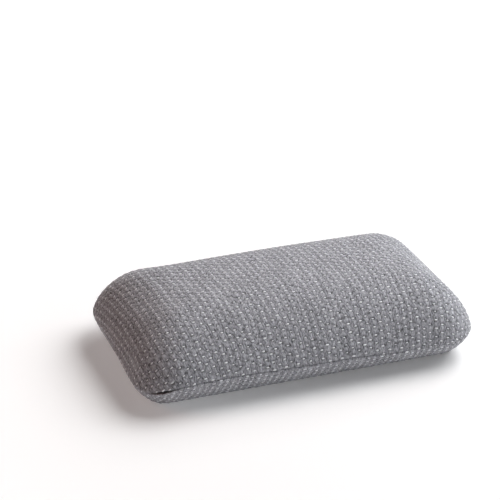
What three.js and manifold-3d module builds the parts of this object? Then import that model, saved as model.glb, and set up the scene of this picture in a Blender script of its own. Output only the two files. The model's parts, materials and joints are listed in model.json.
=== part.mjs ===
// Camp pillow: a block of memory foam in a thin liner, inside a knitted cover with a concealed zip.
// Millimetres, +Z up. X runs along the pillow, Y across it, and the zipped long side faces -Y.
// The origin is the middle of the flat underside.
import * as THREE from 'three';
import { mergeVertices } from 'three/addons/utils/BufferGeometryUtils.js';
import Module from 'manifold-3d';

const wasm = await Module();
wasm.setup();

// ---- driving dimensions of the pillow ----
const LENGTH = 406;
const WIDTH = 240;
const SHOULDER_Z = 92; // height of the top face at its edge
const CROWN = 8; // how much higher the middle of the top is
const CROWN_START_Z = 60; // the crown's rise begins here
const WIDEST_Z = 37; // the pillow is longest and widest here, and the zip runs here
const UNDER_INSET = { x: 22, y: 36 }; // the flat underside is this much smaller at each end and side
const TOP_INSET = { x: 59, y: 75 }; // and so is the nearly flat middle of the top
const CORNER_RADIUS = 46; // in plan, at the widest line
const TOP_CORNER_RADIUS = 8;
const UNDER_CORNER_RADIUS = 16;
const UNDER_POWER = 1.3; // superellipse powers of the rounding: 2 would be a plain ellipse
const TOP_INSET_POWER = { x: 1.7, y: 2 };
const TOP_RISE_POWER = 1.4;

// ---- layers, as depths below the cover's outer surface ----
const COVER_WALL = 3;
const LINER_OUTER = 3.6;
const LINER_INNER = 4.8;
const CORE_DEPTH = 6.2;

// ---- the zip: depths are measured inwards from the widest line of the front ----
const LIP_GAP = 1.4; // between the two panels, all round
const ZIP_LEFT = -150; // the chain's ends
const ZIP_RIGHT = 122.3;
const SLOT_LEFT = -186; // the panels are sewn together outside these two
const SLOT_RIGHT = 136;
const CHAIN_GAP = 1.1; // between the two coils, where the slider's post runs
const COIL_WIDTH = 1.8;
const COIL_DEPTH = [8.5, 10.1];
const TAPE_DEPTH = [10.4, 11];
const TAPE_HALF = 10; // from the zip line to the tape's far edge
const TAPE_OVERHANG = 10; // past the ends of the chain
const STOP_LENGTH = 2.6;
const STOP_HALF = 3;
const CLEARANCE = 0.3;

// ---- the slider and its pull ----
const SLIDER_PARKED = 5.3; // from the chain's left end to the middle of the closed slider
const SLIDER_X = ZIP_LEFT + SLIDER_PARKED;
const SLIDER_LENGTH = 9.2;
const SLIDER_HALF = 3.7;
const SLIDER_NOSE = 1.4; // how far its corners are cut back at the front, and at the tail
const SLIDER_TAIL = 0.8;
const WELD = 0.5; // how far the slider's parts run into its front plate
const FRONT_PLATE = [7.2, 8.2];
const BACK_PLATE = [11.3, 12.1];
const RAIL_INNER = 2.9;
const POST = { length: 2.6, half: 0.25, fromNose: 0.7 };
const PIVOT_DEPTH = 5.2;
const EAR = { inner: 0.8, outer: 1.9, radius: 1.2, baseHalf: 2.6 };
const PIN_RADIUS = 0.75;
const EYE_RADIUS = 0.87;
const PULL = { length: 16, halfWidth: 1.7, halfThickness: 0.45, gripHole: 0.9, gripInset: 2.6 };

// ---- tessellation ----
const CORNER_STEPS = 6;
const LONG_STEPS = 6;
const SHORT_STEPS = 3;
const SIDE_STEPS = 7;
const TOP_RINGS = [0.66, 0.33];
const PIN_STEPS = 16;
const EAR_STEPS = 8;
const PULL_STEPS = 16;

const colours = {
  knit: { color: 0x77777a, roughness: 0.95, metalness: 0 },
  liner: { color: 0xe6e4de, roughness: 0.95, metalness: 0 },
  foam: { color: 0xf1e7c4, roughness: 0.9, metalness: 0 },
  tape: { color: 0x5c5c60, roughness: 0.9, metalness: 0 },
  coil: { color: 0x6a6a6e, roughness: 0.45, metalness: 0 },
  metal: { color: 0x6f7074, roughness: 0.35, metalness: 1 },
  label: { color: 0xf4f3ef, roughness: 0.85, metalness: 0 },
};

const pillow = new THREE.Group();

function addPart(name, geometry, colour) {
  const mesh = new THREE.Mesh(geometry, new THREE.MeshStandardMaterial(colours[colour]));
  mesh.name = name;
  pillow.add(mesh);
}

// ---- solids: three.js geometry in and out of manifold-3d ----
function toSolid(geometry) {
  const bare = geometry.clone();
  bare.deleteAttribute('normal');
  bare.deleteAttribute('uv');
  const tolerance = 1e-4;
  const merged = mergeVertices(bare, tolerance);
  const vertProperties = new Float32Array(merged.attributes.position.array);
  const triVerts = new Uint32Array(merged.index.array);
  return new wasm.Manifold(new wasm.Mesh({ numProp: 3, vertProperties, triVerts }));
}

function toGeometry(solid) {
  const mesh = solid.getMesh();
  const geometry = new THREE.BufferGeometry();
  geometry.setAttribute('position', new THREE.BufferAttribute(mesh.vertProperties, 3));
  geometry.setIndex(new THREE.BufferAttribute(mesh.triVerts, 1));
  geometry.computeVertexNormals();
  return geometry;
}

function joined(geometries) {
  return geometries.map(toSolid).reduce((whole, next) => whole.add(next));
}

// A box given by its lowest and highest corners.
function box(low, high) {
  const size = high.map((value, axis) => value - low[axis]);
  const middle = high.map((value, axis) => (value + low[axis]) / 2);
  return new THREE.BoxGeometry(...size).translate(...middle);
}

// ---- the pillow's rounded form ----
// The profile as a turn from 0 (the edge of the underside) through 1 (the widest line) to 2 (the
// shoulder, where the top begins), giving the insets of the ends (x) and the long sides (y) from
// the widest line, and the height.
function profile(turn) {
  if (turn <= 1) {
    const angle = (turn * Math.PI) / 2;
    const share = 1 - Math.sin(angle) ** (2 / UNDER_POWER);
    return {
      x: UNDER_INSET.x * share,
      y: UNDER_INSET.y * share,
      z: WIDEST_Z * (1 - Math.cos(angle) ** (2 / UNDER_POWER)),
    };
  }
  const angle = ((turn - 1) * Math.PI) / 2;
  const share = (power) => 1 - Math.abs(Math.cos(angle)) ** (2 / power);
  return {
    x: TOP_INSET.x * share(TOP_INSET_POWER.x),
    y: TOP_INSET.y * share(TOP_INSET_POWER.y),
    z: WIDEST_Z + (SHOULDER_Z - WIDEST_Z) * Math.sin(angle) ** (2 / TOP_RISE_POWER),
  };
}

// The long side's direction inwards, straight up from the underside and straight down from the top.
function inwards(turn) {
  if (turn <= 0) return { inset: 0, z: 1 };
  if (turn >= 2) return { inset: 0, z: -1 };
  const step = 1e-3;
  const before = profile(turn - step);
  const after = profile(turn + step);
  const rise = after.z - before.z;
  const lean = after.y - before.y;
  const length = Math.hypot(rise, lean);
  return { inset: rise / length, z: -lean / length };
}

function cornerRadius(turn, inset) {
  return turn <= 1
    ? THREE.MathUtils.lerp(CORNER_RADIUS, UNDER_CORNER_RADIUS, inset / UNDER_INSET.y)
    : THREE.MathUtils.lerp(CORNER_RADIUS, TOP_CORNER_RADIUS, inset / TOP_INSET.y);
}

// One level of a layer that lies `depth` below the outer surface.
function level(turn, depth) {
  const outer = profile(turn);
  const normal = inwards(turn);
  return {
    halfX: LENGTH / 2 - outer.x - normal.inset * depth,
    halfY: WIDTH / 2 - outer.y - normal.inset * depth,
    radius: cornerRadius(turn, outer.y) - normal.inset * depth,
    z: outer.z + normal.z * depth,
    lift: Math.max(0, (outer.z - CROWN_START_Z) / (SHOULDER_Z - CROWN_START_Z)) ** 2,
  };
}

// The turn at which the outer profile reaches a height, found by halving.
function turnAtHeight(z) {
  const halvings = 40;
  let low = 0;
  let high = 2;
  for (let round = 0; round < halvings; round += 1) {
    const middle = (low + high) / 2;
    if (profile(middle).z < z) low = middle;
    else high = middle;
  }
  return low;
}

// The smaller rings that close a flat or crowned face towards its middle.
function shrunk(ring, scale) {
  const { halfX, halfY, radius } = ring;
  return { ...ring, halfX: halfX * scale, halfY: halfY * scale, radius: radius * scale };
}

function crownLift(x, y, lift) {
  return lift * CROWN * (1 - (2 * x / LENGTH) ** 2) * (1 - (2 * y / WIDTH) ** 2);
}

// The points of a level: a rectangle with round corners, going round from the +X side.
function ringPoints({ halfX, halfY, radius, z, lift }) {
  const straightX = halfX - radius;
  const straightY = halfY - radius;
  const corners = [[1, 1], [-1, 1], [-1, -1], [1, -1]];
  const points = [];
  corners.forEach(([signX, signY], corner) => {
    for (let step = 0; step <= CORNER_STEPS; step += 1) {
      const angle = ((corner + step / CORNER_STEPS) * Math.PI) / 2;
      points.push([
        signX * straightX + radius * Math.cos(angle),
        signY * straightY + radius * Math.sin(angle),
      ]);
    }
    const along = corner % 2 === 0 ? LONG_STEPS : SHORT_STEPS;
    const from = points[points.length - 1];
    const [nextX, nextY] = corners[(corner + 1) % corners.length];
    const nextAngle = ((corner + 1) * Math.PI) / 2;
    const to = [
      nextX * straightX + radius * Math.cos(nextAngle),
      nextY * straightY + radius * Math.sin(nextAngle),
    ];
    for (let step = 1; step < along; step += 1) {
      const part = step / along;
      points.push([from[0] + (to[0] - from[0]) * part, from[1] + (to[1] - from[1]) * part]);
    }
  });
  return points.map(([x, y]) => new THREE.Vector3(x, y, z + crownLift(x, y, lift)));
}

function polePoint({ z, lift }) {
  return [new THREE.Vector3(0, 0, z + crownLift(0, 0, lift))];
}

// A closed skin through rings of points. A ring of one point is a pole.
function loft(rings, { closed }) {
  const positions = rings.flat().flatMap((point) => point.toArray());
  const starts = [];
  rings.reduce((start, ring) => {
    starts.push(start);
    return start + ring.length;
  }, 0);
  const index = [];
  const pairs = closed ? rings.length : rings.length - 1;
  for (let lower = 0; lower < pairs; lower += 1) {
    const upper = (lower + 1) % rings.length;
    const count = Math.max(rings[lower].length, rings[upper].length);
    if (count === 1) continue;
    for (let at = 0; at < count; at += 1) {
      const next = (at + 1) % count;
      const corner = (ring, place) => starts[ring] + (rings[ring].length === 1 ? 0 : place);
      if (rings[lower].length > 1) index.push(corner(lower, at), corner(lower, next), corner(upper, next));
      if (rings[upper].length > 1) index.push(corner(lower, at), corner(upper, next), corner(upper, at));
    }
  }
  const geometry = new THREE.BufferGeometry();
  geometry.setAttribute('position', new THREE.Float32BufferAttribute(positions, 3));
  geometry.setIndex(index);
  geometry.computeVertexNormals();
  return geometry;
}

function turns(from, to) {
  return Array.from({ length: SIDE_STEPS + 1 }, (_, step) => from + ((to - from) * step) / SIDE_STEPS);
}

// The rings of one layer from its underside's middle, or from its top's middle, to a given turn.
function fromUnderside(depth, lastTurn) {
  const edge = level(0, depth);
  return [
    polePoint(edge),
    ...[...TOP_RINGS].reverse().map((scale) => ringPoints(shrunk(edge, scale))),
    ...turns(0, lastTurn).map((turn) => ringPoints(level(turn, depth))),
  ];
}

function toTop(depth, firstTurn) {
  const edge = level(2, depth);
  return [
    ...turns(firstTurn, 2).map((turn) => ringPoints(level(turn, depth))),
    ...TOP_RINGS.map((scale) => ringPoints(shrunk(edge, scale))),
    polePoint(edge),
  ];
}

// The whole form at one depth, as one solid.
function wholeForm(depth) {
  return loft([...fromUnderside(depth, 1), ...toTop(depth, 1).slice(1)], { closed: false });
}

// ---- things that run straight along the zip ----
// An outline in depth and height above the zip line, drawn out along X.
function alongZip(outline, fromX, toX) {
  const shape = new THREE.Shape(outline.map(([depth, height]) => new THREE.Vector2(depth, height)));
  const bar = new THREE.ExtrudeGeometry(shape, { depth: toX - fromX, bevelEnabled: false });
  const basis = new THREE.Matrix4().makeBasis(
    new THREE.Vector3(0, 1, 0),
    new THREE.Vector3(0, 0, 1),
    new THREE.Vector3(1, 0, 0),
  );
  return bar.applyMatrix4(basis).translate(fromX, -WIDTH / 2, WIDEST_Z);
}

function rectangle([nearDepth, farDepth], [low, high]) {
  return [[nearDepth, low], [farDepth, low], [farDepth, high], [nearDepth, high]];
}

function mirrored(outline, side) {
  const turned = outline.map(([depth, height]) => [depth, side * height]);
  return side > 0 ? turned : turned.reverse();
}

// Heights above the zip line for the upper side, or below it, lowest first.
function heightsOn(side, near, far) {
  return side > 0 ? [near, far] : [-far, -near];
}

// ---- cover ----
// The turned-in edge of a panel, which carries the zip tape and ends in the middle of the wall.
const HEM = { near: 4.2, far: TAPE_HALF, reach: 5 };

function wallMiddle(height) {
  return profile(turnAtHeight(WIDEST_Z + height)).y + COVER_WALL / 2;
}

function hem(side) {
  const back = TAPE_DEPTH[0] - CLEARANCE;
  const nearWall = wallMiddle(side * HEM.near);
  const farWall = wallMiddle(side * HEM.far);
  const outline = [[nearWall, HEM.near], [back, HEM.near], [back, HEM.far], [farWall, HEM.far]];
  return alongZip(mirrored(outline, side), ZIP_LEFT - HEM.reach, ZIP_RIGHT + HEM.reach);
}

// A level's ring, put at an exact height: the rim of a panel is flat.
function rimRing(turn, depth, z) {
  return ringPoints({ ...level(turn, depth), z, lift: 0 });
}

function upperPanel() {
  const rimZ = WIDEST_Z + LIP_GAP / 2;
  const rimTurn = turnAtHeight(rimZ);
  const outer = toTop(0, rimTurn);
  const inner = toTop(COVER_WALL, rimTurn);
  outer[0] = rimRing(rimTurn, 0, rimZ);
  inner[0] = rimRing(rimTurn, COVER_WALL, rimZ);
  const shell = loft([...outer, ...inner.reverse()], { closed: true });
  return toGeometry(joined([shell, hem(1)]));
}

function basePanel() {
  const rimZ = WIDEST_Z - LIP_GAP / 2;
  const rimTurn = turnAtHeight(rimZ);
  const outer = fromUnderside(0, rimTurn);
  const inner = fromUnderside(COVER_WALL, rimTurn);
  outer[outer.length - 1] = rimRing(rimTurn, 0, rimZ);
  inner[inner.length - 1] = rimRing(rimTurn, COVER_WALL, rimZ);
  const shell = loft([...inner.reverse(), ...outer], { closed: true });
  return toGeometry(joined([shell, hem(-1)]));
}

// The overlocked seam that joins the panels everywhere except along the zip's slot.
const SEAM_DEPTH = [0.8, 2.8];

function perimeterSeam() {
  const half = LIP_GAP / 2 - CLEARANCE;
  const [near, far] = SEAM_DEPTH;
  const ring = (depth, side) => rimRing(1, depth, WIDEST_Z + side * half);
  const rings = [ring(near, -1), ring(near, 1), ring(far, 1), ring(far, -1)];
  const slot = box([SLOT_LEFT, -WIDTH, 0], [SLOT_RIGHT, -CORNER_RADIUS, SHOULDER_Z]);
  return toGeometry(toSolid(loft(rings, { closed: true })).subtract(toSolid(slot)));
}

// ---- filling ----
// The hollow that the zip presses into the filling, grown by the thickness of what lies in front.
const CHANNEL = { depth: 13.4, mouthHalf: 16, floorHalf: 12.5, overhang: 16 };

function zipChannel(growth) {
  const mouth = CHANNEL.mouthHalf + growth;
  const floor = CHANNEL.floorHalf + growth;
  const depth = CHANNEL.depth + growth;
  const outline = [[-COVER_WALL, -mouth], [depth, -floor], [depth, floor], [-COVER_WALL, mouth]];
  const reach = CHANNEL.overhang + growth;
  return toSolid(alongZip(outline, ZIP_LEFT - reach, ZIP_RIGHT + reach));
}

function fillingForm(depth) {
  return toSolid(wholeForm(depth)).subtract(zipChannel(depth - LINER_OUTER));
}

// The liner is left open along a slit at the back, where its own seam would be.
const SLIT_HALF = { x: 90, z: 1 };

function coreLiner() {
  const slit = box(
    [-SLIT_HALF.x, WIDTH / 2 - 2 * LINER_INNER, WIDEST_Z - SLIT_HALF.z],
    [SLIT_HALF.x, WIDTH / 2, WIDEST_Z + SLIT_HALF.z],
  );
  const skin = fillingForm(LINER_OUTER).subtract(fillingForm(LINER_INNER));
  return toGeometry(skin.subtract(toSolid(slit)));
}

// ---- zip ----
function zipTape(side) {
  const outline = mirrored(rectangle(TAPE_DEPTH, [CHAIN_GAP / 2, TAPE_HALF]), side);
  return alongZip(outline, ZIP_LEFT - TAPE_OVERHANG, ZIP_RIGHT + TAPE_OVERHANG);
}

// A round-cornered strip in the place of one side of the nylon coil.
const COIL_BEVEL = 0.5;

function zipCoil(side) {
  const [near, far] = COIL_DEPTH;
  const low = CHAIN_GAP / 2;
  const high = low + COIL_WIDTH;
  const outline = [
    [near + COIL_BEVEL, low], [far - COIL_BEVEL, low],
    [far, low + COIL_BEVEL], [far, high - COIL_BEVEL],
    [far - COIL_BEVEL, high], [near + COIL_BEVEL, high],
    [near, high - COIL_BEVEL], [near, low + COIL_BEVEL],
  ];
  return alongZip(mirrored(outline, side), ZIP_LEFT, ZIP_RIGHT);
}

function zipStop(fromX, heights) {
  return alongZip(rectangle(COIL_DEPTH, heights), fromX, fromX + STOP_LENGTH);
}

// ---- slider ----
// Depth inwards from the front becomes Y.
const depthToY = (depth) => depth - WIDTH / 2;

function sliderPlate([nearDepth, farDepth]) {
  const half = SLIDER_LENGTH / 2;
  const upper = [
    [half, SLIDER_HALF - SLIDER_TAIL], [half - SLIDER_TAIL, SLIDER_HALF],
    [-half + SLIDER_NOSE, SLIDER_HALF], [-half, SLIDER_HALF - SLIDER_NOSE],
  ];
  const lower = [...upper].reverse().map(([x, z]) => [x, -z]);
  const outline = [...upper, ...lower];
  const shape = new THREE.Shape(outline.map(([x, z]) => new THREE.Vector2(x, z)));
  const plate = new THREE.ExtrudeGeometry(shape, { depth: farDepth - nearDepth, bevelEnabled: false });
  return plate.rotateX(Math.PI / 2).translate(SLIDER_X, depthToY(farDepth), WIDEST_Z);
}

function sliderRail(side) {
  const heights = [RAIL_INNER, SLIDER_HALF];
  const depths = [FRONT_PLATE[0] + WELD, TAPE_DEPTH[0] - CLEARANCE];
  const half = SLIDER_LENGTH / 2 - SLIDER_NOSE;
  return alongZip(mirrored(rectangle(depths, heights), side), SLIDER_X - half, SLIDER_X + half);
}

// One ear of the slider's bridge: a round nose on a wider foot, thick along Z.
function sliderEar(side) {
  const shape = new THREE.Shape();
  const foot = FRONT_PLATE[0] + WELD - PIVOT_DEPTH;
  shape.moveTo(EAR.baseHalf, foot);
  shape.lineTo(-EAR.baseHalf, foot);
  shape.lineTo(-EAR.radius, 0);
  shape.absarc(0, 0, EAR.radius, Math.PI, 2 * Math.PI, false);
  const options = { depth: EAR.outer - EAR.inner, bevelEnabled: false, curveSegments: EAR_STEPS };
  const low = side > 0 ? EAR.inner : -EAR.outer;
  return new THREE.ExtrudeGeometry(shape, options)
    .translate(SLIDER_X, depthToY(PIVOT_DEPTH), WIDEST_Z + low);
}

function sliderPin() {
  return new THREE.CylinderGeometry(PIN_RADIUS, PIN_RADIUS, EAR.inner + EAR.outer, PIN_STEPS)
    .rotateX(Math.PI / 2)
    .translate(SLIDER_X, depthToY(PIVOT_DEPTH), WIDEST_Z);
}

function sliderPost() {
  const from = SLIDER_X - SLIDER_LENGTH / 2 + POST.fromNose;
  const depths = [FRONT_PLATE[0] + WELD, BACK_PLATE[0] + WELD];
  return alongZip(rectangle(depths, [-POST.half, POST.half]), from, from + POST.length);
}

function sliderBody() {
  const sides = [1, -1];
  return toGeometry(joined([
    sliderPlate(FRONT_PLATE),
    sliderPlate(BACK_PLATE),
    ...sides.map(sliderRail),
    ...sides.map(sliderEar),
    sliderPin(),
    sliderPost(),
  ]));
}

// The pull lies in the slot beyond the chain's left end, and turns about the slider's pin.
function sliderPull() {
  const { length, halfWidth, halfThickness, gripHole, gripInset } = PULL;
  const shape = new THREE.Shape();
  shape.absarc(0, 0, halfWidth, -Math.PI / 2, Math.PI / 2, false);
  shape.lineTo(-(length - halfWidth), halfWidth);
  shape.absarc(-(length - halfWidth), 0, halfWidth, Math.PI / 2, (3 * Math.PI) / 2, false);
  shape.holes.push(new THREE.Path().absarc(0, 0, EYE_RADIUS, 0, 2 * Math.PI, true));
  shape.holes.push(new THREE.Path().absarc(-(length - gripInset), 0, gripHole, 0, 2 * Math.PI, true));
  const options = { depth: 2 * halfThickness, bevelEnabled: false, curveSegments: PULL_STEPS };
  return new THREE.ExtrudeGeometry(shape, options)
    .translate(SLIDER_X, depthToY(PIVOT_DEPTH), WIDEST_Z - halfThickness);
}

// ---- blank label, sewn to the lower tape inside ----
const LABEL = { fromX: 60, length: 24, near: 4.2, far: 11.4, thickness: 0.5 };

function careLabel() {
  const nearDepth = TAPE_DEPTH[1] + CLEARANCE;
  const depths = [nearDepth, nearDepth + LABEL.thickness];
  const heights = heightsOn(-1, LABEL.near, LABEL.far);
  return alongZip(rectangle(depths, heights), LABEL.fromX, LABEL.fromX + LABEL.length);
}

// ---- assembly ----
addPart('cover_upper', upperPanel(), 'knit');
addPart('cover_base', basePanel(), 'knit');
addPart('perimeter_seam', perimeterSeam(), 'knit');
addPart('core_liner', coreLiner(), 'liner');
addPart('foam_core', toGeometry(fillingForm(CORE_DEPTH)), 'foam');
[['upper', 1], ['lower', -1]].forEach(([name, side]) => {
  const stopHeights = heightsOn(side, CHAIN_GAP / 2, STOP_HALF);
  addPart(`zip_tape_${name}`, zipTape(side), 'tape');
  addPart(`zip_coil_${name}`, zipCoil(side), 'coil');
  addPart(`zip_top_stop_${name}`, zipStop(ZIP_LEFT - CLEARANCE - STOP_LENGTH, stopHeights), 'coil');
});
addPart('zip_bottom_stop', zipStop(ZIP_RIGHT + CLEARANCE, [-STOP_HALF, STOP_HALF]), 'coil');
addPart('slider_body', sliderBody(), 'metal');
addPart('slider_pull', sliderPull(), 'metal');
addPart('care_label', careLabel(), 'label');

export default pillow;
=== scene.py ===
"""Camp pillow: a memory-foam block in a dotted knitted cover with a concealed zip.

The frame is in metres and the pillow's own sizes are in millimetres, as named below.
X runs along the pillow, Y across it with the zip at -Y, and Z is up.
"""
import functools
import json
import math

import bmesh
import bpy
import numpy as np
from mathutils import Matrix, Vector
from mathutils.bvhtree import BVHTree


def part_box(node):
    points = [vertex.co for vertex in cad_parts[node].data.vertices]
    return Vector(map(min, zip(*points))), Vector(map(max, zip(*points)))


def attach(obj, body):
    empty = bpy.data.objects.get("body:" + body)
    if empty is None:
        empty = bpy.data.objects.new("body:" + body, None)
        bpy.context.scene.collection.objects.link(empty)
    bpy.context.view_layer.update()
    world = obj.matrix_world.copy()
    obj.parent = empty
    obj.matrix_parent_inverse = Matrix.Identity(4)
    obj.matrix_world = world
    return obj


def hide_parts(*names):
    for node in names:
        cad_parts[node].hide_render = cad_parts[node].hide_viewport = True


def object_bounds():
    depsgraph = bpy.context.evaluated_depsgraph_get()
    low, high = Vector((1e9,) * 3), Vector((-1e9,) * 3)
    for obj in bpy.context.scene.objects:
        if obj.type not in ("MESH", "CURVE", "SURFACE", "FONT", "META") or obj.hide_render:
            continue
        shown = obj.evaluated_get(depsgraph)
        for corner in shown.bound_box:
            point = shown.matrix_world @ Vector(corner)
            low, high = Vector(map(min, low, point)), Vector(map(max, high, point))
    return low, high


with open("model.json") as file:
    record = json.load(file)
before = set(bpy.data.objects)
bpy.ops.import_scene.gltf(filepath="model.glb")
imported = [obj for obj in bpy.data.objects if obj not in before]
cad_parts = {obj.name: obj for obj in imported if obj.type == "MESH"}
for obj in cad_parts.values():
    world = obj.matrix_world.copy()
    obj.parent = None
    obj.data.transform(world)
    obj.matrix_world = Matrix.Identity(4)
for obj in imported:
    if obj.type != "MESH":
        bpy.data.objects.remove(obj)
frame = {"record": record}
CAD_BOX = [list(corner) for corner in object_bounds()]
MM = 0.001

# ---- the pillow's form, the same as the CAD's ----
LENGTH = 406.0
WIDTH = 240.0
CROWN = 8.0
CROWN_START_Z = 60.0
SHOULDER_Z = CAD_BOX[1][2] / MM - CROWN
UNDER_INSET = np.array([22.0, 36.0])  # at the ends, and at the long sides
TOP_INSET = np.array([59.0, 75.0])
CORNER_RADIUS = 46.0
TOP_CORNER_RADIUS = 8.0
UNDER_CORNER_RADIUS = 16.0
UNDER_POWER = 1.3
TOP_INSET_POWER = np.array([1.7, 2.0])
TOP_RISE_POWER = 1.4

# ---- the zip's slot, between the two panels' lips ----
LIP_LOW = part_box("cover_base")[1][2] / MM
LIP_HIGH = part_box("cover_upper")[0][2] / MM
WIDEST_Z = (LIP_LOW + LIP_HIGH) / 2
SLOT_HALF = (LIP_HIGH - LIP_LOW) / 2
SLOT_LEFT = -186.0
SLOT_RIGHT = 136.0
SEWN_HALF = 0.03  # half the gap where the panels are sewn together
SLOT_TAPER = 10.0
SLOT_DRIFT_X = [-189.0, -183.0, -174.0, -162.0, -139.0, -107.0, -60.0, 32.0, 62.0, 80.0, 93.0]
SLOT_DRIFT_Z = [-8.5, -6.2, -3.4, 0.2, 1.5, 2.0, 0.9, -1.2, -2.0, -3.2, -4.1]
SLOT_WOBBLE = ((0.2, 19.0, 0.0), (0.12, 7.3, 1.0))  # heights, lengths of a radian, phases
DRIFT_FRONT = (20.0, -70.0)  # the drift grows towards the front between these places on Y
LIP_HALF = 0.12  # half the gap between the visible lips
GAPE_X = -179.0  # the slot stands open near its left end
GAPE_REACH = 7.0
GAPE_HALF = 1.6

# ---- the knit ----
DOT_PITCH_X = 15.8  # between the dots of one row
DOT_PITCH_Y = 9.5  # between the dots of one column; its neighbours are shifted by half of both
KNIT_TURN = math.radians(2.6)  # the upper panel's columns lie slightly askew
FIRST_ROW = 2.0  # from the panels' front edge to the first row of dots
FRONT_DEPTH = 1.0  # the part of that edge where the row is set
FRONT_HALF = 100.0
WANDER = 0.45  # how far the pattern strays from its grid
WANDER_LENGTH = 45.0
WANDER_SEEDS = (11, 12)
DIMPLE_DEPTH = 0.6
DIMPLE_SHARPNESS = 1.8
RIB_HEIGHT = 0.5
RIB_SHARPNESS = 1.5
LIP_FADE = (6.0, 1.0)  # the knit's relief fades out between these distances from the slot
COARSE_STEP = 6.5  # the panels' first mesh, which two subdivisions make four times finer
SUBDIVISIONS = 2


def smoothstep(low, high, value):
    part = np.clip((value - low) / (high - low), 0.0, 1.0)
    return part * part * (3.0 - 2.0 * part)


def ripple(x, y, wavelength, seed):
    """A smooth made-up noise, mostly between -1 and 1, the same each run."""
    random = np.random.default_rng(seed)
    total = np.zeros_like(x)
    waves = 9
    for _ in range(waves):
        heading = random.uniform(0.0, 2 * math.pi)
        turns = 2 * math.pi / (wavelength * random.uniform(0.7, 1.5))
        phase = random.uniform(0.0, 2 * math.pi)
        total += np.sin(turns * (x * math.cos(heading) + y * math.sin(heading)) + phase)
    return total / math.sqrt(waves)


# ---------------------------------------------------------------- the rounded form
def profile(turn):
    """Insets of the ends and sides and the height, from turn 0 (underside) by 1 (widest) to 2."""
    if turn <= 1.0:
        angle = turn * math.pi / 2
        inset = UNDER_INSET * (1 - math.sin(angle) ** (2 / UNDER_POWER))
        return inset, WIDEST_Z * (1 - max(math.cos(angle), 0.0) ** (2 / UNDER_POWER))
    angle = (turn - 1.0) * math.pi / 2
    inset = TOP_INSET * (1 - max(math.cos(angle), 0.0) ** (2 / TOP_INSET_POWER))
    return inset, WIDEST_Z + (SHOULDER_Z - WIDEST_Z) * math.sin(angle) ** (2 / TOP_RISE_POWER)


def inwards(turn):
    """The long side's unit normal into the pillow, as inset and height."""
    if turn <= 0.0:
        return 0.0, 1.0
    if turn >= 2.0:
        return 0.0, -1.0
    step = 1e-3
    before, after = profile(turn - step), profile(turn + step)
    rise, lean = after[1] - before[1], after[0][1] - before[0][1]
    length = math.hypot(rise, lean)
    return rise / length, -lean / length


def turn_at_height(z):
    low, high = 0.0, 2.0
    halvings = 40
    for _ in range(halvings):
        middle = (low + high) / 2
        low, high = (middle, high) if profile(middle)[1] < z else (low, middle)
    return low


def even_turns(first, last, spacing):
    """Turns from one to another, evenly spaced along the profile."""
    samples = 400
    fine = np.linspace(first, last, samples)
    points = np.array([(profile(turn)[0][1], profile(turn)[1]) for turn in fine])
    run = np.concatenate([[0.0], np.cumsum(np.hypot(*np.diff(points, axis=0).T))])
    count = max(2, round(run[-1] / spacing))
    return np.interp(np.linspace(0.0, run[-1], count + 1), run, fine)


def crown_rise(x, y):
    return CROWN * (1 - (2 * x / LENGTH) ** 2) * (1 - (2 * y / WIDTH) ** 2)


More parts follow.
